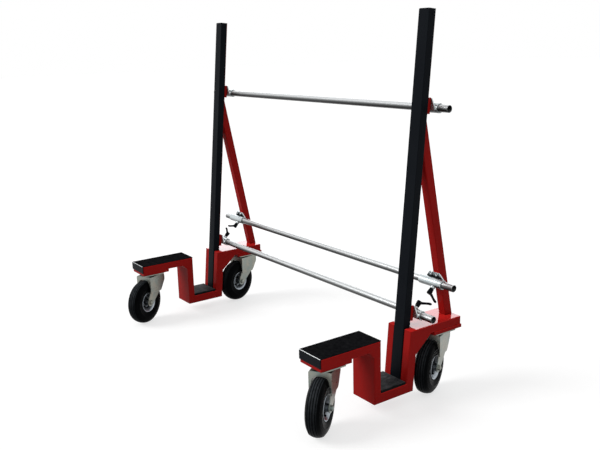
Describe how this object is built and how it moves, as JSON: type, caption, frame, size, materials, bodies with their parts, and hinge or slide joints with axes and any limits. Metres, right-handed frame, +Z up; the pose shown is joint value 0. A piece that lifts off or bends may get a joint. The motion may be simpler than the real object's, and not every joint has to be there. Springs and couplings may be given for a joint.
{
  "type": "sheet goods cart",
  "caption": "Long cart for sheet goods: red stepped side frames on swivel casters, each with a padded arm, a low channel and a leaning post, joined by clamped sliding tubes.",
  "frame": {"origin": "centre of the footprint, on the floor", "axes": "+X along the cart, towards the right-hand side frame seen from the front; +Y from the arms to the posts; +Z up"},
  "size_m": [1.818, 0.8423, 1.5684],
  "materials": {
    "red_paint": "gloss",
    "black_rubber": "matte",
    "black_plastic": "satin",
    "grey_rubber": "matte",
    "zinc": "satin",
    "bright_zinc": "satin",
    "galvanised": "satin",
    "rim_steel": "satin",
    "tyre_rubber": "matte"
  },
  "bodies": {
    "left_frame": {"left_base_frame": "red_paint", "left_arm_pad": "black_rubber", "left_arm_end_cap": "black_plastic", "left_channel_mat": "grey_rubber", "left_post": "red_paint", "left_post_cover": "black_plastic", "left_brace": "red_paint", "left_upper_bracket": "red_paint", "left_lower_bracket": "red_paint", "left_upper_sleeve": "bright_zinc", "left_middle_sleeve": "bright_zinc", "left_lower_sleeve": "bright_zinc", "front_left_swivel_plate": "zinc", "rear_left_swivel_plate": "zinc"},
    "right_frame": {"right_base_frame": "red_paint", "right_arm_pad": "black_rubber", "right_arm_end_cap": "black_plastic", "right_channel_mat": "grey_rubber", "right_post": "red_paint", "right_post_cover": "black_plastic", "right_brace": "red_paint", "right_upper_bracket": "red_paint", "right_lower_bracket": "red_paint", "right_upper_sleeve": "bright_zinc", "right_middle_sleeve": "bright_zinc", "right_lower_sleeve": "bright_zinc", "front_right_swivel_plate": "zinc", "rear_right_swivel_plate": "zinc"},
    "upper_tube": {"upper_tube": "galvanised"},
    "middle_tube": {"middle_tube": "galvanised"},
    "lower_tube": {"lower_tube": "galvanised"},
    "left_middle_clamp": {"left_middle_lever": "black_plastic", "left_middle_lever_screw": "bright_zinc"},
    "left_lower_clamp": {"left_lower_lever": "black_plastic", "left_lower_lever_screw": "bright_zinc"},
    "right_middle_clamp": {"right_middle_lever": "black_plastic", "right_middle_lever_screw": "bright_zinc"},
    "right_lower_clamp": {"right_lower_lever": "black_plastic", "right_lower_lever_screw": "bright_zinc"},
    "front_left_caster": {"front_left_fork": "zinc", "front_left_axle": "zinc"},
    "front_left_wheel": {"front_left_rim": "rim_steel", "front_left_tyre": "tyre_rubber", "front_left_wheel_bearing": "rim_steel"},
    "rear_left_caster": {"rear_left_fork": "zinc", "rear_left_axle": "zinc"},
    "rear_left_wheel": {"rear_left_rim": "rim_steel", "rear_left_tyre": "tyre_rubber", "rear_left_wheel_bearing": "rim_steel"},
    "front_right_caster": {"front_right_fork": "zinc", "front_right_axle": "zinc"},
    "front_right_wheel": {"front_right_rim": "rim_steel", "front_right_tyre": "tyre_rubber", "front_right_wheel_bearing": "rim_steel"},
    "rear_right_caster": {"rear_right_fork": "zinc", "rear_right_axle": "zinc"},
    "rear_right_wheel": {"rear_right_rim": "rim_steel", "rear_right_tyre": "tyre_rubber", "rear_right_wheel_bearing": "rim_steel"}
  },
  "joints": [
    {"name": "right_frame_slide", "type": "slide", "parent": "left_frame", "child": "right_frame", "axis": [1, 0, 0], "range_m": [-0.75, 0.05]},
    {"name": "upper_tube_slide", "type": "slide", "parent": "left_frame", "child": "upper_tube", "axis": [1, 0, 0], "range_m": [-0.04, 0.04]},
    {"name": "middle_tube_slide", "type": "slide", "parent": "left_frame", "child": "middle_tube", "axis": [1, 0, 0], "range_m": [-0.04, 0.04]},
    {"name": "lower_tube_slide", "type": "slide", "parent": "left_frame", "child": "lower_tube", "axis": [1, 0, 0], "range_m": [-0.04, 0.04]},
    {"name": "left_middle_lever_turn", "type": "hinge", "parent": "left_frame", "child": "left_middle_clamp", "pos_m": [-0.76, 0.31583, 0.47218], "axis": [0, -0.7071, -0.7071], "range_deg": [-90, 90]},
    {"name": "left_lower_lever_turn", "type": "hinge", "parent": "left_frame", "child": "left_lower_clamp", "pos_m": [-0.78, 0.2082, 0.36268], "axis": [0, 0.7071, 0.7071], "range_deg": [-90, 90]},
    {"name": "right_middle_lever_turn", "type": "hinge", "parent": "right_frame", "child": "right_middle_clamp", "pos_m": [0.8, 0.31583, 0.47218], "axis": [0, -0.7071, -0.7071], "range_deg": [-90, 90]},
    {"name": "right_lower_lever_turn", "type": "hinge", "parent": "right_frame", "child": "right_lower_clamp", "pos_m": [0.78, 0.2082, 0.36268], "axis": [0, 0.7071, 0.7071], "range_deg": [-90, 90]},
    {"name": "front_left_swivel", "type": "hinge", "parent": "left_frame", "child": "front_left_caster", "pos_m": [-0.78, -0.2537, 0.257], "axis": [0, 0, 1], "continuous": true},
    {"name": "front_left_roll", "type": "hinge", "parent": "front_left_caster", "child": "front_left_wheel", "pos_m": [-0.75276, -0.30716, 0.115], "axis": [0.891, 0.454, 0], "continuous": true},
    {"name": "rear_left_swivel", "type": "hinge", "parent": "left_frame", "child": "rear_left_caster", "pos_m": [-0.78, 0.33447, 0.257], "axis": [0, 0, 1], "continuous": true},
    {"name": "rear_left_roll", "type": "hinge", "parent": "rear_left_caster", "child": "rear_left_wheel", "pos_m": [-0.76346, 0.27679, 0.115], "axis": [0.9613, 0.2756, 0], "continuous": true},
    {"name": "front_right_swivel", "type": "hinge", "parent": "right_frame", "child": "front_right_caster", "pos_m": [0.78, -0.2537, 0.257], "axis": [0, 0, 1], "continuous": true},
    {"name": "front_right_roll", "type": "hinge", "parent": "front_right_caster", "child": "front_right_wheel", "pos_m": [0.81484, -0.30255, 0.115], "axis": [0.8141, 0.5807, 0], "continuous": true},
    {"name": "rear_right_swivel", "type": "hinge", "parent": "right_frame", "child": "rear_right_caster", "pos_m": [0.78, 0.33447, 0.257], "axis": [0, 0, 1], "continuous": true},
    {"name": "rear_right_roll", "type": "hinge", "parent": "rear_right_caster", "child": "rear_right_wheel", "pos_m": [0.8044, 0.27965, 0.115], "axis": [0.9135, 0.4067, 0], "continuous": true}
  ]
}
